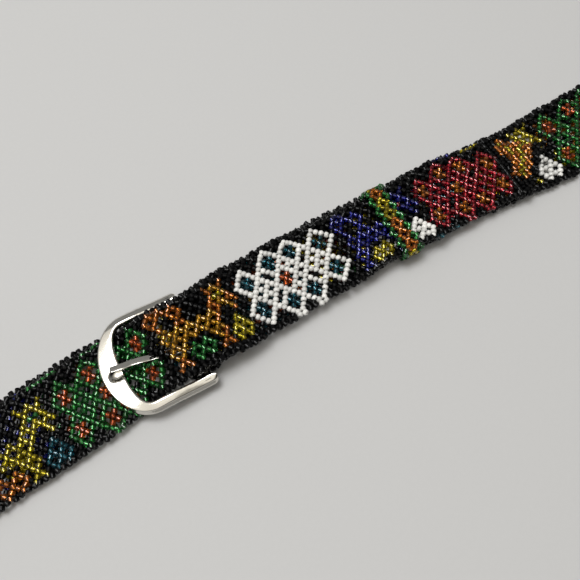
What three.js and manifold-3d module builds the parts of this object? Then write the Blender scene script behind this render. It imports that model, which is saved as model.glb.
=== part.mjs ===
import * as THREE from 'three';
import { mergeVertices } from 'three/addons/utils/BufferGeometryUtils.js';
import Module from 'manifold-3d';

// A beaded belt with a heel-bar buckle, fastened and laid flat with its front stretch on its back stretch.
// Millimetres. X runs along the belt, -Y is the side it is seen from, Z is up, and Z = 0 is the surface it lies on.
// A place on the belt is given by "at", along its middle line from the middle of the flat loop, and "across", towards -Y.

const wasm = await Module();
wasm.setup();

const clearance = 0.3;

// Net band
const bandWidth = 32;
const bandThickness = 2;
const waistLength = 780;
const lapLength = 160.3;
const foldRadius = 2.6;
const pointLength = 17.5;
const pointSide = -0.9;
const pointWidth = 1.6;
const tabLength = 9;

// Buckle frame, with the bar that the band is looped on
const barAt = -51;
const buckleSide = 0.8;
const buckleTurn = -5.5;
const frameLength = 35.2;
const frameWidth = 38.2;
const frameThickness = 2.5;
const frontWidth = 7.6;
const frontDepth = 14;
const armWidth = 3.9;
const innerStrip = 0.8;
const outerBevel = 0.95;
const archRise = 1.2;
const barInset = 3.5;
const barWidth = 4;
const barHeight = 2;
const notchDepth = 1;

// Prong, with a hump just before it comes to rest on the front
const prongWidth = 2.6;
const prongThickness = 1.2;
const prongReach = 28.4;
const prongSide = 3.7;
const prongTurn = 12;
const prongHump = 0.6;
const prongTail = 1;
const prongStraight = 8;

// Keeper, the beaded ring round both straps
const keeperAt = 36.9;
const keeperSide = 1.1;
const keeperLength = 10;
const keeperThickness = 1.7;
const keeperCorner = 3.4;

// Slopes where the band climbs over something and comes down again
const buckleClimb = 18;
const barLedge = 7;
const underDescent = 23;
const lapDescent = 32;
const keeperClimb = 15;
const keeperLedge = 2;
const foldClimb = 26;

// The longest steps along the band where it stays level and where it doesn't, and the change that tells them apart
const flatStep = 9;
const slopeStep = 2.5;
const levelChange = 0.05;
const turnSteps = 8;
const pointSteps = 6;

// The direction of the belt in plan, in degrees
const foldAt = waistLength / 4;
const bends = [
  { at: -foldAt, heading: 3 },
  { at: -0.574 * foldAt, heading: 3.4 },
  { at: -0.308 * foldAt, heading: 3.8 },
  { at: 0.308 * foldAt, heading: -3.8 },
  { at: 0.523 * foldAt, heading: -0.7 },
  { at: foldAt, heading: 0 },
];

// Heights of the middle of each layer
const backLevel = bandThickness / 2;
const frontLevel = backLevel + bandThickness + clearance;
const lapLevel = frontLevel + bandThickness + clearance;
const barLevel = frontLevel + bandThickness / 2 + clearance + barHeight / 2;
const wrapRadius = barHeight / 2 + clearance + bandThickness / 2;
const prongRadius = barHeight / 2 + clearance + prongThickness / 2;
const wrapTop = barLevel + wrapRadius + bandThickness / 2;
const prongTop = barLevel + prongRadius + prongThickness / 2;
const overBarLevel = Math.max(wrapTop, prongTop) + clearance + bandThickness / 2;
const keeperUnderLevel = bandThickness + clearance + keeperThickness + clearance + bandThickness / 2;
const keeperLapLevel = keeperUnderLevel + bandThickness + clearance;
const foldTop = backLevel + 2 * foldRadius;
const frontPlateLevel = frontLevel + bandThickness / 2 + clearance + frameThickness / 2;

// Places along the belt
const pointAt = barAt + lapLength;
const wrapAt = barAt - (barWidth - barHeight) / 2;
const frameFrontAt = barAt + barInset - frameLength;
const windowAt = frameFrontAt + frontWidth;
const keeperStart = keeperAt - keeperLength / 2;
const keeperEnd = keeperAt + keeperLength / 2;

// The net is squeezed in the buckle and in the keeper, and lies looser or tighter elsewhere, as shares of its width
const armRoom = 2 * clearance;
const buckleSqueeze = (frameWidth / 2 - armWidth - armRoom) / (bandWidth / 2);
const keeperSqueeze = 0.86;
const looseSpread = 1.07;
const squeezeStart = keeperStart - keeperLedge / 2;
const squeezeEnd = keeperEnd + keeperLedge / 2;

const lapWidths = [
  { at: -0.57 * foldAt, value: 1 },
  { at: -0.47 * foldAt, value: 1.02 },
  { at: windowAt, value: 1 },
  { at: barAt - buckleClimb, value: buckleSqueeze },
  { at: barAt + barInset, value: buckleSqueeze },
  { at: barAt + underDescent, value: 1.01 },
  { at: barAt + lapDescent, value: 0.98 },
  { at: -0.04 * foldAt, value: 1.015 },
  { at: 0.01 * foldAt, value: 0.97 },
  { at: squeezeStart - keeperClimb, value: 0.95 },
  { at: squeezeStart, value: keeperSqueeze },
  { at: squeezeEnd, value: keeperSqueeze },
  { at: squeezeEnd + keeperClimb / 3, value: 0.955 },
  { at: 0.31 * foldAt, value: 0.98 },
  { at: 0.41 * foldAt, value: 0.9 },
  { at: 0.48 * foldAt, value: 0.945 },
];
const underWidths = [
  { at: barAt + barInset, value: buckleSqueeze },
  { at: barAt + underDescent, value: 0.97 },
  { at: squeezeStart - keeperClimb, value: 0.95 },
  { at: squeezeStart, value: keeperSqueeze },
  { at: squeezeEnd, value: keeperSqueeze },
  { at: squeezeEnd + keeperClimb / 3, value: 0.955 },
  { at: 0.46 * foldAt, value: 0.955 },
  { at: 0.5 * foldAt, value: 0.99 },
  { at: 0.64 * foldAt, value: looseSpread },
  { at: foldAt - foldClimb, value: looseSpread },
  { at: foldAt, value: 1 },
];
const backWidths = [
  { at: -0.51 * foldAt, value: 1 },
  { at: -0.31 * foldAt, value: 0.97 },
  { at: 0.31 * foldAt, value: 0.96 },
  { at: 0.43 * foldAt, value: 0.93 },
  { at: 0.67 * foldAt, value: 1 },
];

// How far each layer lies from the middle line towards the side it is seen from, as shares of the band's width
const barSlant = Math.tan(THREE.MathUtils.degToRad(buckleTurn));
const sideAtBar = buckleSide / bandWidth;
const sideAtKeeper = keeperSide / bandWidth;
const lapDrift = [
  { at: -foldAt, value: 0 },
  { at: -0.57 * foldAt, value: -0.013 },
  { at: -0.46 * foldAt, value: -0.028 },
  { at: windowAt, value: -0.03 },
  { at: barAt - buckleClimb, value: sideAtBar + (barSlant * buckleClimb) / bandWidth },
  { at: barAt, value: sideAtBar },
  { at: barAt + barLedge, value: sideAtBar + 0.017 },
  { at: barAt + lapDescent / 2, value: sideAtBar + 0.009 },
  { at: barAt + underDescent, value: 0.011 },
  { at: barAt + lapDescent, value: 0.02 },
  { at: -0.04 * foldAt, value: 0 },
  { at: 0.01 * foldAt, value: 0.025 },
  { at: squeezeStart, value: sideAtKeeper },
  { at: squeezeEnd + keeperClimb / 3, value: sideAtKeeper },
  { at: 0.31 * foldAt, value: -0.006 },
  { at: 0.35 * foldAt, value: -0.006 },
  { at: 0.41 * foldAt, value: 0.023 },
  { at: 0.45 * foldAt, value: 0.027 },
  { at: 0.48 * foldAt, value: 0.047 },
];
const underDrift = [
  { at: wrapAt, value: sideAtBar },
  { at: barAt + barInset, value: sideAtBar + 0.009 },
  { at: barAt + underDescent, value: -0.019 },
  { at: squeezeStart - keeperClimb, value: -0.019 },
  { at: squeezeStart, value: sideAtKeeper },
  { at: squeezeEnd, value: sideAtKeeper },
  { at: squeezeEnd + keeperClimb, value: -0.019 },
  { at: 0.35 * foldAt, value: -0.034 },
  { at: 0.41 * foldAt, value: 0.003 },
  { at: 0.48 * foldAt, value: 0.019 },
  { at: 0.53 * foldAt, value: 0.037 },
  { at: 0.64 * foldAt, value: 0.04 },
  { at: foldAt, value: 0 },
];
const backDrift = [
  { at: -foldAt, value: 0 },
  { at: -0.57 * foldAt, value: -0.103 },
  { at: -0.45 * foldAt, value: -0.119 },
  { at: -0.23 * foldAt, value: -0.069 },
  { at: 0.31 * foldAt, value: -0.053 },
  { at: 0.43 * foldAt, value: -0.037 },
  { at: 0.53 * foldAt, value: -0.006 },
  { at: foldAt, value: 0 },
];
const lapLevels = [
  { at: -foldAt, value: foldTop },
  { at: -foldAt + foldClimb, value: frontLevel },
  { at: windowAt + 2 * clearance, value: frontLevel },
  { at: windowAt + 2 * clearance + buckleClimb, value: overBarLevel },
  { at: windowAt + buckleClimb + barLedge, value: overBarLevel },
  { at: windowAt + buckleClimb + barLedge + lapDescent, value: lapLevel },
  { at: keeperStart - keeperLedge - keeperClimb, value: lapLevel },
  { at: keeperStart - keeperLedge, value: keeperLapLevel },
  { at: keeperEnd + keeperLedge, value: keeperLapLevel },
  { at: keeperEnd + keeperLedge + keeperClimb, value: lapLevel },
  { at: pointAt, value: lapLevel },
];
const underLevels = [
  { at: wrapAt, value: barLevel + wrapRadius },
  { at: windowAt + buckleClimb + barLedge, value: barLevel + wrapRadius },
  { at: windowAt + buckleClimb + barLedge + underDescent, value: frontLevel },
  { at: keeperStart - keeperLedge - keeperClimb, value: frontLevel },
  { at: keeperStart - keeperLedge, value: keeperUnderLevel },
  { at: keeperEnd + keeperLedge, value: keeperUnderLevel },
  { at: keeperEnd + keeperLedge + keeperClimb, value: frontLevel },
  { at: foldAt - foldClimb, value: frontLevel },
  { at: foldAt, value: foldTop },
];

// Reads a table at one place, with a smooth ease between its rows
function readTable(rows, at) {
  if (at <= rows[0].at) return rows[0].value;
  for (let i = 1; i < rows.length; i++) {
    const [a, b] = [rows[i - 1], rows[i]];
    if (at <= b.at) {
      const ease = (1 - Math.cos((Math.PI * (at - a.at)) / (b.at - a.at))) / 2;
      return a.value + (b.value - a.value) * ease;
    }
  }
  return rows[rows.length - 1].value;
}

function headingAt(at) {
  const inside = THREE.MathUtils.clamp(at, -foldAt, foldAt);
  const next = Math.max(1, bends.findIndex((row) => row.at >= inside));
  const [a, b] = [bends[next - 1], bends[next]];
  const degrees = THREE.MathUtils.mapLinear(inside, a.at, b.at, a.heading, b.heading);
  return THREE.MathUtils.degToRad(degrees);
}

// The middle line in plan, walked in short steps from the middle of the loop
function middleLine(at) {
  const steps = Math.max(1, Math.ceil(Math.abs(at)));
  const point = new THREE.Vector2();
  for (let i = 0; i < steps; i++) {
    const heading = headingAt((at * (i + 0.5)) / steps);
    point.x += (at / steps) * Math.cos(heading);
    point.y += (at / steps) * Math.sin(heading);
  }
  return point;
}

function placeOnBelt(at, across, level) {
  const middle = middleLine(at);
  const heading = headingAt(at);
  return new THREE.Vector3(
    middle.x + across * Math.sin(heading),
    middle.y - across * Math.cos(heading),
    level,
  );
}

// Joins rings of points, each with as many corners, into one closed solid
function skinRings(rings) {
  const corners = rings[0].length;
  const faces = [];
  for (let i = 0; i + 1 < rings.length; i++) {
    for (let j = 0; j < corners; j++) {
      const k = (j + 1) % corners;
      const [a, b, c, d] = [i * corners + j, i * corners + k, (i + 1) * corners + k, (i + 1) * corners + j];
      faces.push(a, c, b, a, d, c);
    }
  }
  const last = (rings.length - 1) * corners;
  for (let j = 1; j + 1 < corners; j++) {
    faces.push(0, j, j + 1, last, last + j + 1, last + j);
  }
  const geometry = new THREE.BufferGeometry();
  const points = rings.flat().flatMap((point) => point.toArray());
  geometry.setAttribute('position', new THREE.Float32BufferAttribute(points, 3));
  geometry.setIndex(faces);
  return geometry;
}

function toSolid(geometry) {
  const bare = geometry.clone();
  bare.deleteAttribute('normal');
  bare.deleteAttribute('uv');
  const welded = mergeVertices(bare, 1e-4);
  return new wasm.Manifold(new wasm.Mesh({
    numProp: 3,
    vertProperties: new Float32Array(welded.attributes.position.array),
    triVerts: new Uint32Array(welded.index.array),
  }));
}

function toGeometry(solid) {
  const mesh = solid.getMesh();
  const geometry = new THREE.BufferGeometry();
  geometry.setAttribute('position', new THREE.BufferAttribute(mesh.vertProperties, 3));
  geometry.setIndex(new THREE.BufferAttribute(mesh.triVerts, 1));
  return geometry;
}

// One row of the band's route: where a layer is, how wide, how far to the side, and how it slants with the buckle
function layerRow(layer, at) {
  return {
    at,
    level: readTable(layer.levels, at),
    half: (bandWidth / 2) * readTable(layer.widths, at),
    shift: bandWidth * readTable(layer.drifts, at),
    slant: readTable(layer.slants, at),
  };
}

// Rows from one end of a stretch to the other, close together only where the layer changes
function stretch(from, to, layer) {
  const rows = [layerRow(layer, from)];
  const side = Math.sign(to - from);
  while ((to - rows.at(-1).at) * side > 0) {
    const here = rows.at(-1);
    const far = layerRow(layer, here.at + side * (slopeStep + flatStep));
    const near = layerRow(layer, here.at + side * slopeStep);
    const changes = [far, near].flatMap((row) => [row.level - here.level, row.half - here.half, row.shift - here.shift]);
    const flat = changes.every((change) => Math.abs(change) < levelChange);
    const next = here.at + side * (flat ? flatStep : slopeStep);
    rows.push(layerRow(layer, (to - next) * side < slopeStep / 2 ? to : next));
  }
  return rows;
}

// A half turn of the band, from below to above or back, round something or as a fold
function halfTurn(at, level, radius, startAngle, turn, ends) {
  const rows = [];
  for (let i = 1; i < turnSteps; i++) {
    const angle = startAngle + (turn * Math.PI * i) / turnSteps;
    rows.push({
      at: at + radius * Math.cos(angle),
      level: level + radius * Math.sin(angle),
      half: ends.half,
      shift: ends.shift,
      slant: ends.slant,
    });
  }
  return rows;
}

// The whole route of the band: tab, round the bar, under strap, fold, back stretch, fold, lap, point
function bandRoute() {
  const same = (value) => [{ at: 0, value }];
  const tab = {
    levels: same(frontLevel), widths: same(buckleSqueeze), drifts: same(sideAtBar), slants: same(barSlant),
  };
  const underSlants = [{ at: barAt + barInset, value: barSlant }, { at: barAt + underDescent, value: 0 }];
  const under = { levels: underLevels, widths: underWidths, drifts: underDrift, slants: underSlants };
  const back = { levels: same(backLevel), widths: backWidths, drifts: backDrift, slants: same(0) };
  const lap = { levels: lapLevels, widths: lapWidths, drifts: lapDrift, slants: same(0) };
  const foldLevel = backLevel + foldRadius;
  return [
    ...stretch(barAt + tabLength, wrapAt, tab),
    ...halfTurn(wrapAt, barLevel, wrapRadius, -Math.PI / 2, -1, layerRow(tab, wrapAt)),
    ...stretch(wrapAt, foldAt, under),
    ...halfTurn(foldAt, foldLevel, foldRadius, Math.PI / 2, -1, layerRow(back, foldAt)),
    ...stretch(foldAt, -foldAt, back),
    ...halfTurn(-foldAt, foldLevel, foldRadius, -Math.PI / 2, -1, layerRow(back, -foldAt)),
    ...stretch(-foldAt, pointAt - pointLength, lap),
    ...pointRows(layerRow(lap, pointAt - pointLength)),
  ];
}

function pointRows(start) {
  return Array.from({ length: pointSteps }, (_, i) => {
    const share = (i + 1) / pointSteps;
    return {
      at: start.at + pointLength * share,
      level: start.level,
      half: THREE.MathUtils.lerp(start.half, pointWidth / 2, share),
      shift: THREE.MathUtils.lerp(start.shift, pointSide, share),
      slant: 0,
    };
  });
}

// The section across the band: flat above and below, with edges as round as a row of beads
function bandRing(row, normal) {
  const rim = bandThickness / 2;
  const outline = [
    [-row.half, 0],
    [-row.half + rim, -bandThickness / 2],
    [row.half - rim, -bandThickness / 2],
    [row.half, 0],
    [row.half - rim, bandThickness / 2],
    [-row.half + rim, bandThickness / 2],
  ];
  if (row.half <= rim) {
    outline[1][0] = outline[5][0] = -row.half / 2;
    outline[2][0] = outline[4][0] = row.half / 2;
  }
  return outline.map(([across, out]) =>
    placeOnBelt(row.at + across * row.slant + out * normal.x, row.shift + across, row.level + out * normal.y),
  );
}

function makeNetBand(slotCutter) {
  const route = bandRoute();
  const rings = route.map((row, i) => {
    const before = route[Math.max(0, i - 1)];
    const after = route[Math.min(route.length - 1, i + 1)];
    const run = new THREE.Vector2(after.at - before.at, after.level - before.level).normalize();
    return bandRing(row, new THREE.Vector2(-run.y, run.x));
  });
  return toGeometry(toSolid(skinRings(rings)).subtract(slotCutter));
}

// Stands a piece on the belt with its own X along it, turned by some degrees and off to the side
function standOnBelt(mesh, at, across, turn) {
  mesh.position.copy(placeOnBelt(at, across, 0));
  mesh.rotation.z = headingAt(at) + THREE.MathUtils.degToRad(turn);
  mesh.updateMatrixWorld(true);
  return mesh;
}

// The horseshoe's section: flat below, a narrow strip inside, a bright face that slopes out and a steep outer bevel
function frameRing(inner, outer, level) {
  const width = inner.distanceTo(outer);
  const [strip, bevel] = [innerStrip / width, 1 - outerBevel / width];
  const section = [[0, 0], [1, 0], [1, 0.2], [bevel, 0.68], [strip, 1], [strip / 4, 0.95], [0, 0.7]];
  return section.map(([out, up]) =>
    new THREE.Vector3(
      THREE.MathUtils.lerp(inner.x, outer.x, out),
      THREE.MathUtils.lerp(inner.y, outer.y, out),
      level + (up - 0.5) * frameThickness,
    ),
  );
}

// Rings from one arm's end, round the front, to the other arm's end
function frameRings() {
  const outerHalf = frameWidth / 2;
  const innerHalf = outerHalf - armWidth;
  const front = barInset - frameLength;
  const corner = front + frontDepth;
  const rings = [];
  const armLevel = (along) => {
    const share = (along - front) / (0 - front);
    const level = THREE.MathUtils.lerp(frontPlateLevel, barLevel, Math.min(1, share));
    return level + archRise * Math.sin(Math.PI * THREE.MathUtils.clamp(share, 0, 1)) ** 2;
  };
  const armSteps = 8;
  const endRounding = [0.6, 0.85];
  for (let i = 0; i < endRounding.length; i++) {
    const inset = ((1 - endRounding[i]) * armWidth) / 2;
    const along = barInset - (armWidth / 3) * i;
    const inner = new THREE.Vector2(along, innerHalf + inset);
    const outer = new THREE.Vector2(along, outerHalf - inset);
    rings.push(frameRing(inner, outer, barLevel));
  }
  for (let i = 0; i < armSteps; i++) {
    const along = THREE.MathUtils.lerp(barInset - armWidth, corner, i / armSteps);
    const [inner, outer] = [new THREE.Vector2(along, innerHalf), new THREE.Vector2(along, outerHalf)];
    rings.push(frameRing(inner, outer, armLevel(along)));
  }
  const cornerSteps = 12;
  const cornerFullness = 0.8;
  for (let i = 0; i <= cornerSteps; i++) {
    const angle = (Math.PI / 2) * (i / cornerSteps);
    const outer = new THREE.Vector2(corner - frontDepth * Math.sin(angle), outerHalf * Math.cos(angle));
    const innerDepth = frontDepth - frontWidth;
    const inner = new THREE.Vector2(
      corner - innerDepth * Math.sin(angle) ** cornerFullness,
      innerHalf * Math.cos(angle) ** cornerFullness,
    );
    rings.push(frameRing(inner, outer, armLevel(corner - frontDepth * Math.sin(angle))));
  }
  const mirrored = rings.slice(0, -1).reverse();
  return [...rings, ...mirrored.map((ring) => ring.map((p) => new THREE.Vector3(p.x, -p.y, p.z)))];
}

function roundedBar(width, height, length) {
  const radius = height / 2;
  const flat = (width - height) / 2;
  const shape = new THREE.Shape();
  shape.absarc(flat, 0, radius, -Math.PI / 2, Math.PI / 2);
  shape.absarc(-flat, 0, radius, Math.PI / 2, (3 * Math.PI) / 2);
  const bar = new THREE.ExtrudeGeometry(shape, { depth: length, bevelEnabled: false, curveSegments: 6 });
  bar.translate(0, 0, -length / 2);
  bar.rotateX(Math.PI / 2);
  return bar;
}

function makeBuckleFrame(notchCutter) {
  const horseshoe = toSolid(skinRings(frameRings()));
  const barLength = frameWidth - armWidth;
  const bar = roundedBar(barWidth, barHeight, barLength);
  bar.translate(0, 0, barLevel);
  return toGeometry(horseshoe.add(toSolid(bar)).subtract(notchCutter));
}

// The prong's side view: under the bar, round it, and out over the front of the frame
function prongPath() {
  const flat = (barWidth - barHeight) / 2;
  const turnRoom = (prongWidth / 2) * Math.tan(THREE.MathUtils.degToRad(prongTurn));
  const restLevel = frontPlateLevel + frameThickness / 2 - notchDepth + clearance + prongThickness / 2;
  const topLevel = barLevel + prongRadius;
  const path = [new THREE.Vector2(-flat - prongTail, barLevel - prongRadius)];
  for (let i = 0; i <= turnSteps; i++) {
    const angle = -Math.PI / 2 + (Math.PI * i) / turnSteps;
    path.push(new THREE.Vector2(
      flat + turnRoom + prongRadius * Math.cos(angle),
      barLevel + prongRadius * Math.sin(angle),
    ));
  }
  const seat = prongReach - frontWidth / 2;
  path.push(new THREE.Vector2(-prongStraight, topLevel));
  path.push(new THREE.Vector2(windowAt - barAt + 1.5 * frontWidth / 2, topLevel + prongHump));
  path.push(new THREE.Vector2(-seat, restLevel + clearance / 2));
  path.push(new THREE.Vector2(-prongReach, restLevel));
  return path;
}

function prongOutline(spare) {
  const path = prongPath();
  const half = prongThickness / 2 + spare;
  const sides = path.map((point, i) => {
    const before = path[Math.max(0, i - 1)];
    const after = path[Math.min(path.length - 1, i + 1)];
    const run = after.clone().sub(before).normalize();
    const end = i === 0 ? -1 : Number(i === path.length - 1);
    const tip = point.clone().addScaledVector(run, end * spare);
    return { out: tip.clone().add(new THREE.Vector2(run.y, -run.x).multiplyScalar(half)),
      in: tip.clone().add(new THREE.Vector2(-run.y, run.x).multiplyScalar(half)) };
  });
  return new THREE.Shape([...sides.map((side) => side.out), ...sides.map((side) => side.in).reverse()]);
}

// With no spare this is the prong, and with a clearance to spare it is what cuts its slot and notch
function makeProng(spare) {
  const width = prongWidth + 2 * spare;
  const prong = new THREE.ExtrudeGeometry(prongOutline(spare), { depth: width, bevelEnabled: false });
  prong.translate(0, 0, -width / 2);
  prong.rotateX(Math.PI / 2);
  prong.rotateZ(THREE.MathUtils.degToRad(-prongTurn));
  prong.translate(0, -prongSide, 0);
  return prong;
}

function roundedRectangle(path, halfWidth, bottom, top, corner) {
  const r = Math.min(corner, (top - bottom) / 2);
  path.moveTo(-halfWidth + r, bottom);
  path.lineTo(halfWidth - r, bottom);
  path.absarc(halfWidth - r, bottom + r, r, -Math.PI / 2, 0);
  path.absarc(halfWidth - r, top - r, r, 0, Math.PI / 2);
  path.absarc(-halfWidth + r, top - r, r, Math.PI / 2, Math.PI);
  path.absarc(-halfWidth + r, bottom + r, r, Math.PI, (3 * Math.PI) / 2);
  return path;
}

function makeKeeper() {
  const innerHalf = (bandWidth / 2) * keeperSqueeze + clearance;
  const bottom = bandThickness + clearance;
  const top = keeperLapLevel + bandThickness / 2 + clearance + keeperThickness;
  const outer = roundedRectangle(
    new THREE.Shape(), innerHalf + keeperThickness, bottom, top, keeperCorner);
  outer.holes.push(roundedRectangle(
    new THREE.Path(), innerHalf, bottom + keeperThickness, top - keeperThickness,
    keeperCorner - keeperThickness));
  const ring = new THREE.ExtrudeGeometry(outer, { depth: keeperLength, bevelEnabled: false, curveSegments: 4 });
  ring.translate(0, 0, -keeperLength / 2);
  ring.rotateX(Math.PI / 2);
  ring.rotateZ(Math.PI / 2);
  return ring;
}

const beads = new THREE.MeshStandardMaterial({ color: 0x1c1c1e, roughness: 0.35, metalness: 0 });
const keeperBeads = new THREE.MeshStandardMaterial({ color: 0xb98a2a, roughness: 0.35, metalness: 0 });
const chrome = new THREE.MeshStandardMaterial({ color: 0xc9c9cb, roughness: 0.12, metalness: 1 });

function namedMesh(name, geometry, material) {
  const mesh = new THREE.Mesh(geometry, material);
  mesh.name = name;
  return mesh;
}

const cutter = new THREE.Mesh(makeProng(clearance));
const onBar = (mesh) => standOnBelt(mesh, barAt, buckleSide, buckleTurn);
const bandCutter = toSolid(cutter.geometry.clone().applyMatrix4(onBar(cutter).matrixWorld));

const group = new THREE.Group();
group.add(namedMesh('net_band', makeNetBand(bandCutter), beads));
group.add(standOnBelt(namedMesh('keeper', makeKeeper(), keeperBeads), keeperAt, keeperSide, 0));
group.add(onBar(namedMesh('buckle_frame', makeBuckleFrame(toSolid(makeProng(clearance))), chrome)));
group.add(onBar(namedMesh('prong', makeProng(0), chrome)));

export default group;
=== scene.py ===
import bpy
import math
import numpy as np
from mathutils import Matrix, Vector


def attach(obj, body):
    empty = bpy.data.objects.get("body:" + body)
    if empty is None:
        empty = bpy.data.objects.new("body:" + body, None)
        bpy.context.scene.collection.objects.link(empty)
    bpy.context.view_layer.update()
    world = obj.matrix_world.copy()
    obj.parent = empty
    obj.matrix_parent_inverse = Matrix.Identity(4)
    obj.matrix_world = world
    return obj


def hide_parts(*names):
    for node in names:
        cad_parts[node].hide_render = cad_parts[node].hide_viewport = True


# Beaded belt: a net of glass seed beads on thread, a keeper of the same beads and a chrome buckle.
# Sizes in the dictionaries are in millimetres. A place on the belt is "at" along its middle line and
# "across" towards -Y. "Run" is the length along the band itself, from the tab to the pointed tip.

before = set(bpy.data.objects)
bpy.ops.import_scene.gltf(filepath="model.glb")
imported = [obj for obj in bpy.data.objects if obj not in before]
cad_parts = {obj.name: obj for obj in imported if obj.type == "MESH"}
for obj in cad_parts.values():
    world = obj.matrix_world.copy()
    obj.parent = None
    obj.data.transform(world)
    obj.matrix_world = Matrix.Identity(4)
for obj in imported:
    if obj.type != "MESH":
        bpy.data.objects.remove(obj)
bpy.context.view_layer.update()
mm = 0.001
chance = np.random.default_rng(23)


# Small helpers

def linearColor(hexColor):
    # sRGB hex such as "c8a040" to the linear colour that the shaders take
    parts = [int(hexColor[i:i + 2], 16) / 255 for i in (0, 2, 4)]
    return [p / 12.92 if p <= 0.04045 else ((p + 0.055) / 1.055) ** 2.4 for p in parts] + [1.0]


def easeTable(rows, place):
    # Reads a table of (place, value) rows with a smooth ease between them
    places = np.array([row[0] for row in rows], float)
    values = np.array([row[1] for row in rows], float)
    place = np.asarray(place, float)
    if len(rows) == 1:
        return np.full(place.shape, values[0])
    i = np.clip(np.searchsorted(places, place) - 1, 0, len(rows) - 2)
    share = np.clip((place - places[i]) / (places[i + 1] - places[i]), 0, 1)
    return values[i] + (values[i + 1] - values[i]) * (1 - np.cos(np.pi * share)) / 2


def lineTable(rows, place):
    # Reads a table of (place, value) rows with straight lines between them
    return np.interp(place, [row[0] for row in rows], [row[1] for row in rows])


def unit(vectors):
    return vectors / np.linalg.norm(vectors, axis=-1, keepdims=True)


def meshObject(name, points, faces, slots=(), faceSlots=None, smooth=True):
    # points are metres; faces an array of quads or triangles
    mesh = bpy.data.meshes.new(name)
    faces = np.asarray(faces, np.int32)
    corners = faces.shape[1]
    mesh.vertices.add(len(points))
    mesh.vertices.foreach_set("co", np.asarray(points, np.float32).ravel())
    mesh.loops.add(faces.size)
    mesh.loops.foreach_set("vertex_index", faces.ravel())
    mesh.polygons.add(len(faces))
    mesh.polygons.foreach_set("loop_start", np.arange(0, faces.size, corners, dtype=np.int32))
    for material in slots:
        mesh.materials.append(material)
    if faceSlots is not None:
        mesh.polygons.foreach_set("material_index", np.asarray(faceSlots, np.int32))
    mesh.polygons.foreach_set("use_smooth", np.full(len(faces), smooth))
    mesh.update(calc_edges=True)
    mesh.validate()
    piece = bpy.data.objects.new(name, mesh)
    bpy.context.scene.collection.objects.link(piece)
    return piece


# Materials

def newMaterial(name):
    material = bpy.data.materials.new(name)
    material.use_nodes = True
    material.node_tree.nodes.clear()
    return material


def addNode(material, kind, inputs=None, **settings):
    # Adds one node, sets it up and joins its inputs: a value is set on the socket, an output is linked to it
    node = material.node_tree.nodes.new("ShaderNode" + kind)
    for key, value in settings.items():
        setattr(node, key, value)
    for key, value in (inputs or {}).items():
        if isinstance(value, bpy.types.NodeSocket):
            material.node_tree.links.new(value, node.inputs[key])
        else:
            node.inputs[key].default_value = value
    return node


beadColors = {  # as the glass looks when light has gone through it once
    "black": "070708",
    "white": "f6f5f1",
    "yellow": "e6d21c",
    "gold": "f0b020",
    "orange": "ee8a22",
    "amber": "e2641c",
    "red": "c81830",
    "green": "2c9a40",
    "teal": "186c80",
    "blue": "1c22a0",
}
beadFinish = {
    "glassIor": 1.52,
    "glassRoughness": 0.06,
    "blackRoughness": 0.18,
    "whiteRoughness": 0.28,
    "liningRoughness": (0.1, 0.44),
    "blackSpecular": 0.15,
    "clearShare": 0.88,  # how much light goes through the lined beads' glass
    "shadeSpread": 0.35,  # how far one bead's shade lies from the next one's
    "linedShade": 0.82,  # the lined beads' brightest shade, as a share of the charted colour
}


def noisePattern(material, size, detail):
    # Noise in the piece's own coordinates, with its size in millimetres
    coords = addNode(material, "TexCoord")
    return addNode(material, "TexNoise", {
        "Vector": coords.outputs["Object"], "Scale": 1 / (size * mm), "Detail": detail}).outputs["Fac"]


def remap(material, value, low, high):
    return addNode(material, "MapRange", {"Value": value, "To Min": low, "To Max": high}).outputs["Result"]


def relief(material, height, strength, depth):
    # Small bumps, with their depth in millimetres
    return addNode(material, "Bump", {
        "Height": height, "Strength": strength, "Distance": depth * mm}).outputs["Normal"]


def blend(material, factor, first, second):
    node = addNode(material, "Mix", {"Factor": factor, "A": first, "B": second}, data_type="RGBA")
    return node.outputs["Result"]


def beadShade(material, colorName, brightest):
    # The charted colour, a little darker from bead to bead
    place = addNode(material, "NewGeometry").outputs["Random Per Island"]
    shade = remap(material, place, brightest - beadFinish["shadeSpread"], brightest)
    return addNode(material, "HueSaturation", {
        "Value": shade, "Color": linearColor(beadColors[colorName])}).outputs["Color"]


def finishMaterial(material, inputs):
    shader = addNode(material, "BsdfPrincipled", inputs)
    addNode(material, "OutputMaterial", {"Surface": shader.outputs["BSDF"]})
    return material


def opaqueBeadMaterial(name, colorName, roughness):
    # Pressed opaque glass: gives the black ground its small soft glints, or the white beads their milky face
    material = newMaterial(name)
    ripples = noisePattern(material, 0.9, 2.0)
    return finishMaterial(material, {
        "Base Color": beadShade(material, colorName, 1.0),
        "Roughness": remap(material, ripples, roughness * 0.6, roughness * 1.5),
        "IOR": beadFinish["glassIor"], "Normal": relief(material, ripples, 0.25, 0.08),
        "Specular IOR Level": beadFinish["blackSpecular"] if colorName == "black" else 0.5})


def linedBeadMaterial(name, colorName):
    # Pressed clear coloured glass round a silver-lined hole: the dark rich colour at each bead's sides
    material = newMaterial(name)
    ripples = noisePattern(material, 1.2, 2.0)
    return finishMaterial(material, {
        "Base Color": beadShade(material, colorName, beadFinish["linedShade"]),
        "Roughness": beadFinish["glassRoughness"], "IOR": beadFinish["glassIor"],
        "Transmission Weight": beadFinish["clearShare"], "Normal": relief(material, ripples, 0.2, 0.08)})


def liningMaterial(name):
    # Hole wall silvered from inside: the bright bar along each coloured bead's axis
    material = newMaterial(name)
    gloss = remap(material, noisePattern(material, 0.4, 3.0), *beadFinish["liningRoughness"])
    return finishMaterial(material, {
        "Base Color": linearColor("f2f0ea"), "Metallic": 1.0, "Roughness": gloss})


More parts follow.
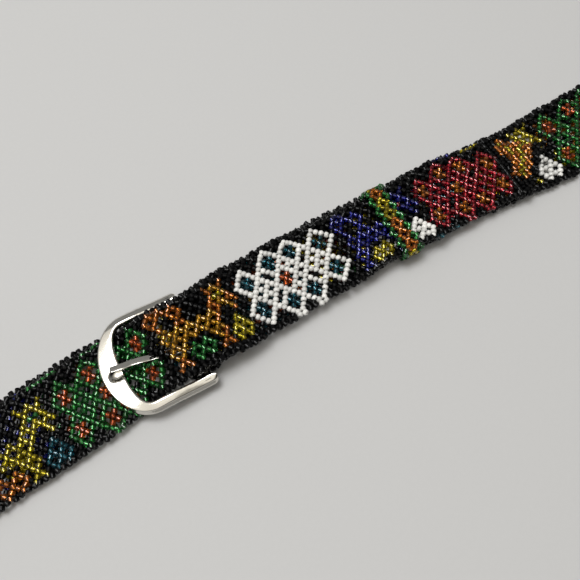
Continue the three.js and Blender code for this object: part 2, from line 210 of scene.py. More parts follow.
def threadMaterial(name):
    # Twisted and waxed black nylon thread, seen only as dark lines between the beads
    material = newMaterial(name)
    coords = addNode(material, "TexCoord")
    twist = addNode(material, "TexWave", {
        "Vector": coords.outputs["Object"], "Scale": 1 / (0.5 * mm), "Distortion": 1.0})
    shade = blend(material, twist.outputs["Fac"], linearColor("08080a"), linearColor("1a191b"))
    return finishMaterial(material, {"Base Color": shade, "Roughness": 0.6, "IOR": 1.53})


def chromeMaterial(name):
    # Cast frame, plated and polished: the hard bright reflections, with faint rubbing marks along the belt
    material = newMaterial(name)
    coords = addNode(material, "TexCoord")
    stretchOut = addNode(material, "Mapping", {
        "Vector": coords.outputs["Object"], "Scale": (1 / (3 * mm), 1 / (0.25 * mm), 1 / (0.25 * mm))})
    rubs = addNode(material, "TexNoise", {
        "Vector": stretchOut.outputs["Vector"], "Scale": 1.0, "Detail": 4.0})
    gloss = addNode(material, "MapRange", {
        "Value": rubs.outputs["Fac"], "From Min": 0.35, "From Max": 0.75, "To Min": 0.07, "To Max": 0.22})
    waves = noisePattern(material, 5, 1.0)
    return finishMaterial(material, {
        "Base Color": linearColor("d8d5cd"), "Metallic": 1.0, "Roughness": gloss.outputs["Result"],
        "Normal": relief(material, waves, 0.3, 0.15)})


opaqueRoughness = {"black": beadFinish["blackRoughness"], "white": beadFinish["whiteRoughness"]}
colorNames = list(beadColors)
beadMaterials = [
    opaqueBeadMaterial("opaqueGlass_" + c, c, opaqueRoughness[c]) if c in opaqueRoughness
    else linedBeadMaterial("silverLinedGlass_" + c, c) for c in colorNames]
beadMaterials.append(liningMaterial("silverLining"))
liningSlot = len(beadMaterials) - 1
threadNylon = threadMaterial("blackNylonThread")
chrome = chromeMaterial("chromePlate")
print("stage: materials made")


# The band's route

belt = {
    "width": 32.0,
    "foldAt": 195.0,
    "foldRadius": 2.6,
    "barAt": -51.0,
    "tabEnd": -42.0,
    "wrapAt": -52.0,
    "wrapRadius": 2.3,
    "pointAt": 109.3,
    "pointLength": 17.5,
    "pointSide": -0.9,
    "pointWidth": 1.6,
    "buckleSide": 0.8,
    "buckleTurn": -5.5,
    "buckleSqueeze": 0.9125,
    "backLevel": 1.08,
    "bends": [(-195, 3), (-112, 3.4), (-60, 3.8), (60, -3.8), (102, -0.7), (195, 0)],
    "lapLevels": [(-195, 6.2), (-169, 3.3), (-74.5, 3.3), (-56.5, 10.2), (-49.5, 10.2), (-17.5, 5.6),
                  (14.9, 5.6), (29.9, 7.6), (43.9, 7.6), (58.9, 5.6)],
    "underLevels": [(-52, 7.9), (-49.5, 7.9), (-26.5, 3.3), (14.9, 3.3), (29.9, 5.3), (43.9, 5.3),
                    (58.9, 3.3), (169, 3.3), (195, 6.2)],
    "lapWidths": [(-111, 1), (-91.7, 1.02), (-75.1, 1), (-69, 0.9125), (-47.5, 0.9125), (-28, 1.01),
                  (-19, 0.98), (-7.8, 1.015), (2, 0.97), (15.9, 0.95), (30.9, 0.86), (42.9, 0.86),
                  (47.9, 0.955), (60.5, 0.98), (80, 0.9), (93.6, 0.945)],
    "underWidths": [(-47.5, 0.9125), (-28, 0.97), (15.9, 0.95), (30.9, 0.86), (42.9, 0.86), (47.9, 0.955),
                    (89.7, 0.955), (97.5, 0.99), (124.8, 1.07), (169, 1.07), (195, 1)],
    "backWidths": [(-99.5, 1), (-60.5, 0.97), (60.5, 0.96), (83.9, 0.93), (130.7, 1)],
    "lapDrift": [(-195, 0), (-111, -0.4), (-89.7, -0.9), (-75.1, -0.95), (-69, -0.93), (-51, 0.8),
                 (-44, 1.35), (-35, 1.1), (-28, 0.35), (-19, 0.65), (-7.8, 0), (2, 0.8), (30.9, 1.1),
                 (47.9, 1.1), (60.5, -0.2), (68.3, -0.2), (80, 0.75), (87.8, 0.85), (93.6, 1.5)],
    "underDrift": [(-52, 0.8), (-47.5, 1.1), (-28, -0.6), (15.9, -0.6), (30.9, 1.1), (42.9, 1.1),
                   (57.9, -0.6), (68.3, -1.1), (80, 0.1), (93.6, 0.6), (103.4, 1.2), (124.8, 1.3), (195, 0)],
    "backDrift": [(-195, 0), (-111, -3.3), (-87.8, -3.8), (-44.9, -2.2), (60.5, -1.7), (83.9, -1.2),
                  (103.4, -0.2), (195, 0)],
}

lineStep = 0.25
linePlaces = np.arange(-230, 230 + lineStep, lineStep)


def headingAt(at):
    return np.radians(np.interp(at, *zip(*belt["bends"])))


lineHeadings = headingAt((linePlaces[:-1] + linePlaces[1:]) / 2)
lineX = np.concatenate([[0], np.cumsum(np.cos(lineHeadings))]) * lineStep
lineY = np.concatenate([[0], np.cumsum(np.sin(lineHeadings))]) * lineStep
lineMiddle = int(np.argmin(np.abs(linePlaces)))
lineX -= lineX[lineMiddle]
lineY -= lineY[lineMiddle]


def placeOnBelt(at, across, level):
    heading = headingAt(at)
    x = np.interp(at, linePlaces, lineX) + across * np.sin(heading)
    y = np.interp(at, linePlaces, lineY) - across * np.cos(heading)
    return np.stack(np.broadcast_arrays(x, y, level), -1)


def routeStretch(start, end, levels, widths, drifts, slants):
    at = np.linspace(start, end, int(abs(end - start)) + 2)
    half = belt["width"] / 2 * easeTable(widths, at)
    return np.stack([at, easeTable(levels, at), half, easeTable(drifts, at), easeTable(slants, at)], 1)


def routeTurn(at, level, radius, startAngle, turn, squeeze, drift, slant):
    angle = math.radians(startAngle) + turn * np.pi * np.linspace(0, 1, 14)[1:-1]
    same = np.ones(angle.shape)
    return np.stack([at + radius * np.cos(angle), level + radius * np.sin(angle),
                     belt["width"] / 2 * squeeze * same, drift * same, slant * same], 1)


flat = [(0, 0)]
squeezed = [(0, belt["buckleSqueeze"])]
barSlant = math.tan(math.radians(belt["buckleTurn"]))
turnLevel = belt["backLevel"] + belt["foldRadius"]
barLevel = 5.6
legs = {
    "tab": routeStretch(belt["tabEnd"], belt["wrapAt"], [(0, 3.3)], squeezed, [(0, belt["buckleSide"])],
                        [(0, barSlant)]),
    "wrap": routeTurn(belt["wrapAt"], barLevel, belt["wrapRadius"], -90, -1, belt["buckleSqueeze"],
                      belt["buckleSide"], barSlant),
    "under": routeStretch(belt["wrapAt"], belt["foldAt"], belt["underLevels"], belt["underWidths"],
                          belt["underDrift"], [(-47.5, barSlant), (-28, 0)]),
    "rightFold": routeTurn(belt["foldAt"], turnLevel, belt["foldRadius"], 90, -1, 1, 0, 0),
    "back": routeStretch(belt["foldAt"], -belt["foldAt"], [(0, belt["backLevel"])], belt["backWidths"],
                         belt["backDrift"], flat),
    "leftFold": routeTurn(-belt["foldAt"], turnLevel, belt["foldRadius"], -90, -1, 1, 0, 0),
    "lap": routeStretch(-belt["foldAt"], belt["pointAt"], belt["lapLevels"], belt["lapWidths"],
                        belt["lapDrift"], flat),
}
route = np.concatenate(list(legs.values()))
routeRun = np.concatenate([[0], np.cumsum(np.hypot(np.diff(route[:, 0]), np.diff(route[:, 1])))])
routeSlope = unit(np.stack([np.gradient(route[:, 0]), np.gradient(route[:, 1])], 1))
legRuns = {}
rowCount = 0
for legName, leg in legs.items():
    legRuns[legName] = routeRun[rowCount:rowCount + len(leg)]
    rowCount += len(leg)


def runOf(legName, at):
    # The length along the band where one of its legs passes a place on the belt
    places = legs[legName][:, 0]
    side = 1 if places[-1] > places[0] else -1
    return np.interp(side * np.asarray(at, float), side * places, legRuns[legName])


def bandSpot(run, across):
    # Place, direction along, direction across and outward direction for beads of the band, in millimetres
    at = np.interp(run, routeRun, route[:, 0]) + across * np.interp(run, routeRun, route[:, 4])
    level = np.interp(run, routeRun, route[:, 1])
    shift = np.interp(run, routeRun, route[:, 3])
    slopeAt = np.interp(run, routeRun, routeSlope[:, 0])
    slopeUp = np.interp(run, routeRun, routeSlope[:, 1])
    heading = headingAt(at)
    spot = placeOnBelt(at, across + shift, level)
    along = unit(np.stack([slopeAt * np.cos(heading), slopeAt * np.sin(heading), slopeUp], -1))
    side = np.stack([np.sin(heading), -np.cos(heading), 0 * heading], -1)
    return spot, along, side, np.cross(side, along)


# The chart of the net
# A cell is one repeat along the belt. Even rows have beads at whole cells, odd rows half way between.

net = {
    "cellMarks": [  # (leg, at, cell), with the cells counted along the band
        ("tab", -42, -176.6), ("under", -52, -172.5), ("under", -24, -166), ("under", 53, -148),
        ("under", 118.6, -133), ("under", 195, -117.4), ("back", 195, -115.7), ("back", -81.3, -58),
        ("back", -195, -31.9), ("lap", -195, -30.3), ("lap", -139, -17), ("lap", -125, -14),
        ("lap", -118.1, -12.5), ("lap", -114.1, -11.5), ("lap", -105.7, -9.5), ("lap", -100, -8),
        ("lap", -96, -7), ("lap", -66.5, 0), ("lap", -62.5, 1), ("lap", -56.1, 2.5), ("lap", -48.1, 4.5),
        ("lap", -39.3, 6.5), ("lap", -32.4, 8.5), ("lap", -26.7, 10), ("lap", -22.2, 11), ("lap", -9.1, 14),
        ("lap", 9.1, 18), ("lap", 14.5, 19), ("lap", 23.5, 21.5), ("lap", 31.3, 23.5), ("lap", 45.2, 26.5),
        ("lap", 49.4, 27.5), ("lap", 55.1, 29), ("lap", 67.9, 32), ("lap", 84.7, 36), ("lap", 88.7, 37)],
    "rowPitch": 2.93,
    "topRow": -6,
    "bottomRow": 5,
    "edgeInset": 1.0,
    "rowDrift": [(-176, 0), (-134, 0.2), (-130, 0.5), (-118, 0), (-20, 0), (-14, 1.9), (-9, 1.8), (-8, 1.5),
                 (-4.5, 1.3), (0, -0.6), (1, -0.9), (6, -0.8), (8.5, -0.1), (10, 0.55), (14, 0.7),
                 (18, -0.3), (19, -0.4), (21.5, 1.2), (26.5, 1.3), (29, 1.0), (32, 0.3), (36, 0.65)],
    "spread": [(-140, 1), (-134, 1.16), (-122, 1.1), (-116, 1), (-9, 1.05), (-7, 1.11), (-4.5, 1.02),
               (-2, 1.15), (0, 1.2), (2, 1.12), (5, 1.02), (18, 1.02), (19.5, 1.1), (24.5, 1.12),
               (26, 1.07), (29, 1.02)],
    "skew": [(-140, 0), (-134, -0.147), (-124, -0.12), (-117, 0)],
    "lapEnd": 90.4,
    "unevenness": 0.4,
}
markRuns = [float(runOf(leg, at)) for leg, at, cell in net["cellMarks"]]
markCells = [cell for leg, at, cell in net["cellMarks"]]

beadNet = {  # colour of each charted bead by (twice the cell, row)
    "nodes": {},
    "crosses": {},
    "sides": {},
}

flowerForm = {
    "petals": [(-3, 2), (-0.5, 3), (1.5, 3), (4, 2)],
    "ring": [(1, 0), (-1, 0), (0.5, 1), (-0.5, 1), (0.5, -1), (-0.5, -1), (0, 2), (0, -2)],
    "body": [(-2, 0), (-1.5, 1), (-1, 0), (0.5, 1), (1, 0), (2, 0), (2.5, 1), (3, 0)],
    "gaps": [((-1.5, 1), (-1, 2)), ((2.5, 1), (2, 2))],
}
figureForm = {
    "rows": {
        -5: [2.5], -4: [2, 3, 4, 7, 8, 9], -3: [1.5, 2.5, 3.5, 4.5, 7.5, 8.5], -2: [2, 4, 7, 8, 9],
        -1: [2.5, 3.5, 4.5, 5.5, 6.5, 7.5, 8.5, 9.5], 0: [2, 3, 4, 5, 6, 7, 9],
        1: [2.5, 3.5, 4.5, 5.5, 6.5], 2: [2, 3, 6, 7], 3: [2.5, 6.5], 4: [2, 3, 6, 7]},
    "gaps": [((9.5, -1), (9, 0)), ((8.5, -1), (8, 0))],
    "twoRings": [(4, 2), (5, 2), (3.5, 3), (4.5, 3), (5.5, 3), (4, 4), (5, 4)],
    "threeRings": [(8.5, 1), (8, 2), (9, 2), (7.5, 3), (8.5, 3), (9.5, 3), (8, 4), (9, 4)],
}


def chartKey(cell, row):
    return (int(round(2 * cell)), row)


def sideKey(first, second):
    return tuple(sorted((first, second)))


def paintGroup(origin, nodes, color, gaps=()):
    # Colours the beads at some nodes, and the side beads that join two of them
    keys = {chartKey(origin + cell, row) for cell, row in nodes}
    left = {sideKey(chartKey(origin + a, ra), chartKey(origin + b, rb)) for (a, ra), (b, rb) in gaps}
    for key in keys:
        beadNet["nodes"][key] = color(key[0] / 2 - origin, key[1]) if callable(color) else color
    for twice, row in keys:
        for other in ((twice - 1, row + 1), (twice + 1, row + 1)):
            pair = sideKey((twice, row), other)
            if other in keys and pair not in left:
                beadNet["sides"][pair] = beadNet["nodes"][(twice, row)]


def paintCross(cell, row, color):
    key = chartKey(cell, row)
    beadNet["nodes"][key] = color
    for step in (-1, 1):
        for down in (-1, 1):
            beadNet["sides"][sideKey(key, (key[0] + step, row + down))] = color


def paintFlower(centre, petalColor, crossColor, centreColor):
    nodes = set()
    gaps = []
    for side in (-1, 1):
        nodes |= {(cell, side * row) for cell, row in flowerForm["body"]}
        for cell, row in flowerForm["petals"]:
            nodes |= {(cell + a, side * row + b) for a, b in flowerForm["ring"]}
        gaps += [((a, side * ra), (b, side * rb)) for (a, ra), (b, rb) in flowerForm["gaps"]]
    paintGroup(centre, nodes, petalColor, gaps)
    for side in (-1, 1):
        for cell, row in flowerForm["petals"]:
            paintCross(centre + cell, side * row, crossColor)
    paintCross(centre, 0, centreColor)


def paintFigure(origin, color, twoColor, threeColor):
    nodes = [(cell, row) for row, cells in figureForm["rows"].items() for cell in cells]
    paintGroup(origin, nodes, color, figureForm["gaps"])
    paintGroup(origin, figureForm["twoRings"], twoColor)
    paintGroup(origin, figureForm["threeRings"], threeColor)


def orangeAndGold(cell, row):
    # The orange figure has gold in its body and in the second line of its neck
    return "gold" if (-1 <= row <= 2 and cell < 7) or cell in (8, 8.5) else "orange"


flowers = {-166: ("teal", "amber", "gold"), -148: ("teal", "red", "gold"), -130: ("green", "amber", "amber"),
           -112: ("blue", "yellow", "white"), -94: ("white", "teal", "amber"), -76: ("red", "orange", "gold"),
           -58: ("green", "amber", "orange"), -40: ("white", "teal", "amber"), -22: ("red", "orange", "gold"),
           -4: ("green", "amber", "amber"), 14: ("white", "teal", "amber"), 32: ("red", "orange", "orange")}
figures = {-162: ("yellow", "green", "white"), -144: ("yellow", "green", "white"),
           -126: ("blue", "orange", "teal"), -108: ("orange", "green", "yellow"),
           -90: ("blue", "yellow", "white"), -72: ("yellow", "orange", "teal"),
           -54: ("blue", "yellow", "white"), -36: ("orange", "green", "yellow"),
           -18: ("yellow", "orange", "teal"),
           0: (orangeAndGold, "green", "yellow"), 18: ("blue", "yellow", "white")}
for centre, colors in flowers.items():
    paintFlower(centre, *colors)
for origin, colors in figures.items():
    paintFigure(origin, *colors)
for origin, eyeColor in ((-18, "green"), (0, "yellow")):
    for cell in (7.5, 8.5):
        beadNet["sides"][sideKey(chartKey(origin + cell, -3), chartKey(origin + 8, -2))] = eyeColor
beadNet["nodes"][chartKey(26, -2)] = "red"
beadNet["nodes"][chartKey(22, -5)] = "red"
edgeColors = {  # coloured beads along the two edges, by row and cell
    (-6, -9): "green", (-6, -8): "green", (-6, -7): "green", (-6, -4): "green", (-6, -3): "green",
    (-6, -2): "green", (-6, 32): "blue", (-6, 33): "blue", (-6, 35): "yellow", (-6, 36): "yellow",
    (5, 27.5): "teal", (5, 29.5): "teal"}
for (row, cell), color in edgeColors.items():
    beadNet["nodes"][chartKey(cell, row)] = color


# Beads

bead = {
    "radius": 1.03,
    "roundProfile": [(0.4, -0.8), (0.72, -0.84), (1.0, -0.4), (1.0, 0.4), (0.72, 0.84), (0.4, 0.8)],
    "cutProfile": [(0.5, -0.74), (0.8, -0.8), (1.0, -0.58), (1.0, 0.58), (0.8, 0.8), (0.5, 0.74)],
    "sides": 12,
    "plainRoundProfile": [(0.42, -0.76), (0.88, -0.74), (1.04, 0), (0.88, 0.74), (0.42, 0.76)],
    "plainCutProfile": [(0.5, -0.76), (0.98, -0.72), (0.98, 0.72), (0.5, 0.76)],
    "plainSides": 8,
    "whiteGrowth": 1.1,
    "sizeSpread": 0.06,
    "placeSpread": 0.12,
    "turnSpread": 14.0,
    "edgeAside": 1.02,  # how far each of an edge's two beads lies from the vertex
    "edgeWander": 0.45,
    "edgeLean": 0.4,
    "threadRadius": 0.17,
}


def beadTemplate(profile, sides, crispRows):
    # One closed bead round the X axis: a profile turned round the hole. The last strip is the hole's wall.
    # Edges are crisp on the profile's crisp rows.
    angles = 2 * np.pi * np.arange(sides) / sides
    points = [(x, r * math.cos(a), r * math.sin(a)) for r, x in profile for a in angles]
    count = len(profile)
    faces = []
    holeWall = []
    crisp = []
    for i in range(count):
        for j in range(sides):
            k = (j + 1) % sides
            n = (i + 1) % count
            faces.append((i * sides + j, i * sides + k, n * sides + k, n * sides + j))
            holeWall.append(i == count - 1)
            if i in crispRows:
                crisp.append((i * sides + j, i * sides + k))
    return {"points": np.array(points), "faces": np.array(faces), "holeWall": np.array(holeWall),
            "crisp": np.array(crisp)}


fineBeads = (beadTemplate(bead["roundProfile"], bead["sides"], (0, 5)),
             beadTemplate(bead["cutProfile"], bead["sides"], (0, 2, 3, 5)))
plainBeads = (beadTemplate(bead["plainRoundProfile"], bead["plainSides"], (0, 4)),
              beadTemplate(bead["plainCutProfile"], bead["plainSides"], (0, 1, 2, 3)))


def turnAbout(vectors, axes, degrees):
    angle = np.radians(degrees)[:, None]
    return (vectors * np.cos(angle) + np.cross(axes, vectors) * np.sin(angle)
            + axes * np.sum(axes * vectors, 1, keepdims=True) * (1 - np.cos(angle)))


def beadPiece(name, places, axes, ups, colors, templates):
    # Joins one bead for each place into one mesh: round beads for white glass, cut ones for the rest
    count = len(places)
    axes = turnAbout(unit(axes), unit(ups), chance.normal(0, bead["turnSpread"] / 2, count))
    second = unit(np.cross(axes, ups))
    axes = turnAbout(axes, second, chance.normal(0, bead["turnSpread"] / 2, count))
    second = turnAbout(second, axes, chance.uniform(0, 360, count))
    third = np.cross(axes, second)
    colors = np.array(colors)
    girth = 1 + chance.uniform(-1, 1, count) * bead["sizeSpread"]
    girth = girth * np.where(colors == "white", bead["whiteGrowth"], 1)
    length = 1 + chance.uniform(-1, 1, count) * 1.6 * bead["sizeSpread"]
    colorSlots = np.array([colorNames.index(c) for c in colors])
    rounded = colors == "white"
    lined = np.array([c not in opaqueRoughness for c in colors])
    allPoints, allFaces, slots, crispEdges = [], [], [], []
    start = 0
    for template, chosen in zip(templates, (rounded, ~rounded)):
        points, faces = template["points"], template["faces"]
        n = int(chosen.sum())
        turned = (points[None, :, 0, None] * (axes[chosen] * length[chosen, None])[:, None]
                  + points[None, :, 1, None] * (second[chosen] * girth[chosen, None])[:, None]
                  + points[None, :, 2, None] * (third[chosen] * girth[chosen, None])[:, None])
        allPoints.append((places[chosen][:, None] + turned).reshape(-1, 3) * mm)
        firsts = start + np.arange(n) * len(points)
        allFaces.append((faces[None] + firsts[:, None, None]).reshape(-1, 4))
        crispEdges.append((template["crisp"][None] + firsts[:, None, None]).reshape(-1, 2))
        wallSlot = np.where(lined[chosen], liningSlot, colorSlots[chosen])
        glassSlot = colorSlots[chosen][:, None]
        slots.append(np.where(template["holeWall"][None], wallSlot[:, None], glassSlot).ravel())
        start += n * len(points)
    piece = meshObject(name, np.vstack(allPoints), np.vstack(allFaces), beadMaterials, np.concatenate(slots))
    markCrisp(piece.data, np.vstack(crispEdges))
    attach(piece, "root")
    return piece


def markCrisp(mesh, pairs):
    edges = np.empty(2 * len(mesh.edges), np.int32)
    mesh.edges.foreach_get("vertices", edges)
    edges = np.sort(edges.reshape(-1, 2).astype(np.int64), 1)
    pairs = np.sort(pairs.astype(np.int64), 1)
    count = len(mesh.vertices)
    crisp = np.isin(edges[:, 0] * count + edges[:, 1], pairs[:, 0] * count + pairs[:, 1])
    mesh.attributes.new("sharp_edge", "BOOLEAN", "EDGE").data.foreach_set("value", crisp)


def threadPiece(name, starts, ends, ups):
    # Thread from bead to bead, as three-sided strands
    along = unit(ends - starts)
    second = unit(np.cross(along, ups))
    third = np.cross(along, second)
    corners = []
    for base in (starts, ends):
        for angle in (90, 210, 330):
            a = math.radians(angle)
            corners.append(base + bead["threadRadius"] * (math.cos(a) * second + math.sin(a) * third))
    points = np.stack(corners, 1).reshape(-1, 3) * mm
    faces = np.array([(0, 1, 4, 3), (1, 2, 5, 4), (2, 0, 3, 5)])
    allFaces = (faces[None] + (np.arange(len(starts)) * 6)[:, None, None]).reshape(-1, 4)
    piece = meshObject(name, points, allFaces, [threadNylon])
    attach(piece, "root")
    return piece


# The net

waveTurns = chance.uniform(0, 2 * np.pi, (6, 2))
waveSizes = [(0.11, 0.13), (0.19, 0.08), (0.31, 0.21)]


def netWander(run, across, which):
    # A slow unevenness of the net, a fraction of a millimetre each way
    total = 0
    for i, (alongTurn, acrossTurn) in enumerate(waveSizes):
        total = total + np.sin(run * alongTurn + across * acrossTurn + waveTurns[2 * which + i % 2, 0] + i)
    return net["unevenness"] * total / 3


def nodeSpots(cells, rows):
    run = np.interp(cells, markCells, markRuns)
    half = np.interp(run, routeRun, route[:, 2]) - net["edgeInset"]
    scale = half / (belt["width"] / 2 - net["edgeInset"])
    across = easeTable(net["rowDrift"], cells) + rows * net["rowPitch"] * lineTable(net["spread"], cells)
    across = across * np.minimum(scale, 1)
    topFour = across + (-4 - rows) * net["rowPitch"]
    across = np.where(rows == net["topRow"], -half, across)
    across = np.where(rows == net["topRow"] + 1, (topFour * 0.5 - half * 0.5), across)
    across = np.where(rows == net["bottomRow"], half, across)
    run = run + lineTable(net["skew"], cells) * across
    run = run + netWander(run, across, 0)
    across = across + netWander(run, across, 1) * (np.abs(across) < half - 1)
    return run, across


firstCell, lastCell = -176, 40
nodeList = [(twice, row) for row in range(net["topRow"], net["bottomRow"] + 1)
            for twice in range(2 * firstCell, 2 * lastCell) if (twice - row) % 2 == 0]
nodeArray = np.array(nodeList, float)
nodeRun, nodeAcross = nodeSpots(nodeArray[:, 0] / 2, nodeArray[:, 1])
lapEndRun = float(runOf("lap", net["lapEnd"]))
nodeSpot, nodeAlong, nodeSide, nodeUp = bandSpot(nodeRun, nodeAcross)
nodeSpot = nodeSpot + nodeUp * chance.normal(0, bead["placeSpread"], (len(nodeSpot), 1))
nodeIndex = {key: i for i, key in enumerate(nodeList)}

beads = {"place": [], "axis": [], "up": [], "color": [], "run": []}
threads = {"start": [], "end": [], "up": []}


def addTo(store, *values):
    for key, value in zip(store, values):
        store[key].append(value)


for key, i in nodeIndex.items():
    twice, row = key
    if nodeRun[i] > lapEndRun:
        continue
    color = beadNet["nodes"].get(key, "black")
    if row in (net["topRow"], net["bottomRow"]):
        for step in (-1, 1):  # each edge vertex turns round two beads
            wander = chance.uniform(-bead["edgeWander"], bead["edgeWander"])
            away = nodeAlong[i] * step * bead["edgeAside"] + nodeSide[i] * wander
            axis = nodeSide[i] + bead["edgeLean"] * step * nodeAlong[i]
            addTo(beads, nodeSpot[i] + away, axis, nodeUp[i], color, nodeRun[i])
    else:
        addTo(beads, nodeSpot[i], nodeSide[i], nodeUp[i], color, nodeRun[i])
    for other in ((twice - 1, row + 1), (twice + 1, row + 1)):
        n = nodeIndex.get(other)
        if n is None or nodeRun[n] > lapEndRun:
            continue
        middle = (nodeSpot[i] + nodeSpot[n]) / 2
        color = beadNet["sides"].get(sideKey(key, other), "black")
        addTo(beads, middle, nodeSpot[n] - nodeSpot[i], nodeUp[i], color, (nodeRun[i] + nodeRun[n]) / 2)
        addTo(threads, nodeSpot[i], nodeSpot[n], nodeUp[i])
print("stage: net charted,", len(beads["place"]), "beads")


# The pointed tip is worked closer, in short rows like bricks
tip = {
    "start": 90.9,
    "columnPitch": 1.84,
    "beadPitch": 1.62,
    "tilt": 25.0,
    "block": [(91.3, -6.7), (94.4, -12.5), (106.2, -3.2), (95.6, 9.6), (90.4, 4.6), (94.5, 0.5),
              (93.6, -3.6)],
    "borderColor": "orange",
    "innerColor": "yellow",
    "borderDepth": 1.3,
    "edgeInset": 0.7,
    "columnSteps": 12,
}


def insideDepth(point, polygon):
    # How deep a point lies inside a polygon, or a negative number outside it
    x, y = point
    inside = False
    nearest = 1e9
    for (ax, ay), (bx, by) in zip(polygon, polygon[1:] + polygon[:1]):
        if (ay > y) != (by > y) and x < (bx - ax) * (y - ay) / (by - ay) + ax:
            inside = not inside
        length = math.hypot(bx - ax, by - ay)
        share = max(0, min(1, ((x - ax) * (bx - ax) + (y - ay) * (by - ay)) / length ** 2))
        nearest = min(nearest, math.hypot(x - ax - share * (bx - ax), y - ay - share * (by - ay)))
    return nearest if inside else -nearest


column = 0
at = tip["start"]
while at < belt["pointAt"]:
    share = max(0, 1 - (belt["pointAt"] - at) / belt["pointLength"])
    half = belt["width"] / 2 * (1 - share) + belt["pointWidth"] / 2 * share - tip["edgeInset"]
    middle = belt["pointSide"] * share
    offset = (column % 2) * tip["beadPitch"] / 2
    for step in range(-tip["columnSteps"], tip["columnSteps"] + 1):
        across = step * tip["beadPitch"] + offset
        if abs(across - middle) > half:
            continue
        depth = insideDepth((at, across), tip["block"])
        inner = tip["innerColor"] if math.sin(at * 1.1 + across * 0.7) > 0.15 else tip["borderColor"]
        color = "black" if depth < 0 else tip["borderColor"] if depth < tip["borderDepth"] else inner
        spot, along, side, up = (v[0] for v in bandSpot(runOf("lap", [at]), np.array([across])))
        tilt = math.radians(tip["tilt"]) * (1 if column % 2 else -1)
        spot = spot + chance.normal(0, bead["placeSpread"], 3)
        addTo(beads, spot, side * math.cos(tilt) + along * math.sin(tilt), up, color, float(runOf("lap", at)))
    at += tip["columnPitch"]
    column += 1

beadPlace = np.array(beads["place"])
beadAxis = np.array(beads["axis"])
beadUp = np.array(beads["up"])
beadColor = np.array(beads["color"])
beadRun = np.array(beads["run"])

# Where the prong comes up through the net, the beads lie to both sides of it
prong = {
    "width": 2.5,
    "thickness": 1.2,
    "reach": 28.4,
    "side": 3.7,
    "turn": 12.0,
    "topLevel": 7.5,
    "levels": [(3, 7.0), (9, 7.0), (12.5, 7.5), (18.4, 8.1), (20, 8.05), (24.6, 7.15), (28.4, 7.0)],
    "comesOut": 13.6,
    "liftSpread": 2.6,
    "topFall": 0.6,
    "edgeRadius": 0.28,
}


barPlace = placeOnBelt(belt["barAt"], belt["buckleSide"], 0.0)
barHeading = float(headingAt(belt["barAt"])) + math.radians(belt["buckleTurn"])


def toBuckle(points):
    # From the belt's frame to the buckle's own: along the belt, to the left and up, from the bar's middle
    moved = points - barPlace
    c, s = math.cos(barHeading), math.sin(barHeading)
    along = moved[..., 0] * c + moved[..., 1] * s
    left = moved[..., 1] * c - moved[..., 0] * s
    return np.stack([along, left, moved[..., 2]], -1)


def fromBuckle(points):
    c, s = math.cos(barHeading), math.sin(barHeading)
    points = np.asarray(points, float)
    return np.stack([points[..., 0] * c - points[..., 1] * s, points[..., 1] * c + points[..., 0] * s,
                     points[..., 2]], -1) + barPlace


def clearOfProng(points):
    local = toBuckle(points)
    turn = math.radians(prong["turn"])
    x, y = local[:, 0], local[:, 1] + prong["side"]
    reach = -(x * math.cos(turn) - y * math.sin(turn))
    off = x * math.sin(turn) + y * math.cos(turn)
    room = prong["width"] / 2 + bead["radius"] + 0.1
    clear = prong["thickness"] / 2 + bead["radius"]
    high = local[:, 2] - easeTable(prong["levels"], reach)
    under = (reach > 2) & (reach < prong["comesOut"]) & (high > -1)
    lift = np.maximum(0, clear - high) * np.exp(-(off / prong["liftSpread"]) ** 2)
    local[:, 2] += np.where(under, lift, 0)
    high = local[:, 2] - easeTable(prong["levels"], reach)
    near = (np.abs(off) < room) & (reach > -3) & (reach < prong["reach"]) & (np.abs(high) < clear * 0.9)
    pushed = np.where(off >= 0, room, -room) - off
    local[:, 0] += np.where(near, pushed * math.sin(turn), 0)
    local[:, 1] += np.where(near, pushed * math.cos(turn), 0)
    return fromBuckle(local)


beadPlace = clearOfProng(beadPlace)
beadPlace[:, 2] = np.maximum(beadPlace[:, 2], bead["radius"] * (1 + bead["sizeSpread"]) + 0.02)
pieceEnds = [
    ("net_wrap", "tab", -42, "under", 88, plainBeads),
    ("net_under_right", "under", 88, "under", 152, fineBeads),
    ("net_fold_right", "under", 152, "back", 0, plainBeads),
    ("net_back_left", "back", 0, "lap", -141, plainBeads),
    ("net_lap_left", "lap", -141, "lap", -8, fineBeads),
    ("net_lap_right", "lap", -8, "lap", 112, fineBeads),
]
for name, firstLeg, firstAt, lastLeg, lastAt, template in pieceEnds:
    first, last = float(runOf(firstLeg, firstAt)), float(runOf(lastLeg, lastAt))
    chosen = (beadRun >= first - 0.001) & (beadRun < last + (1 if lastAt == 112 else 0))
    piece = beadPiece(name, beadPlace[chosen], beadAxis[chosen], beadUp[chosen], beadColor[chosen], template)
    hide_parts("net_band")
    print("stage:", name, int(chosen.sum()), "beads,", 2 * len(piece.data.polygons), "triangles")
netThread = threadPiece("net_thread", clearOfProng(np.array(threads["start"])),
                        clearOfProng(np.array(threads["end"])), np.array(threads["up"]))
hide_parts("net_band")


# The keeper

keeper = {
    "at": 36.9,
    "side": 1.1,
    "halfWidth": 14.9,
    "bottom": 2.3,
    "top": 10.6,
    "thickness": 1.7,
    "corner": 2.55,
    "cells": 14,
    "rowPitch": 1.92,
    "diamonds": ["orange", "orange", "orange", "yellow", "yellow", "orange", "yellow", "yellow", "orange",
                 "orange", "yellow", "orange", "yellow", "yellow"],
    "edgeColor": "green",
    "shift": 0.65,  # how far round the ring the chart starts, in cells
    "wander": 0.08,
}


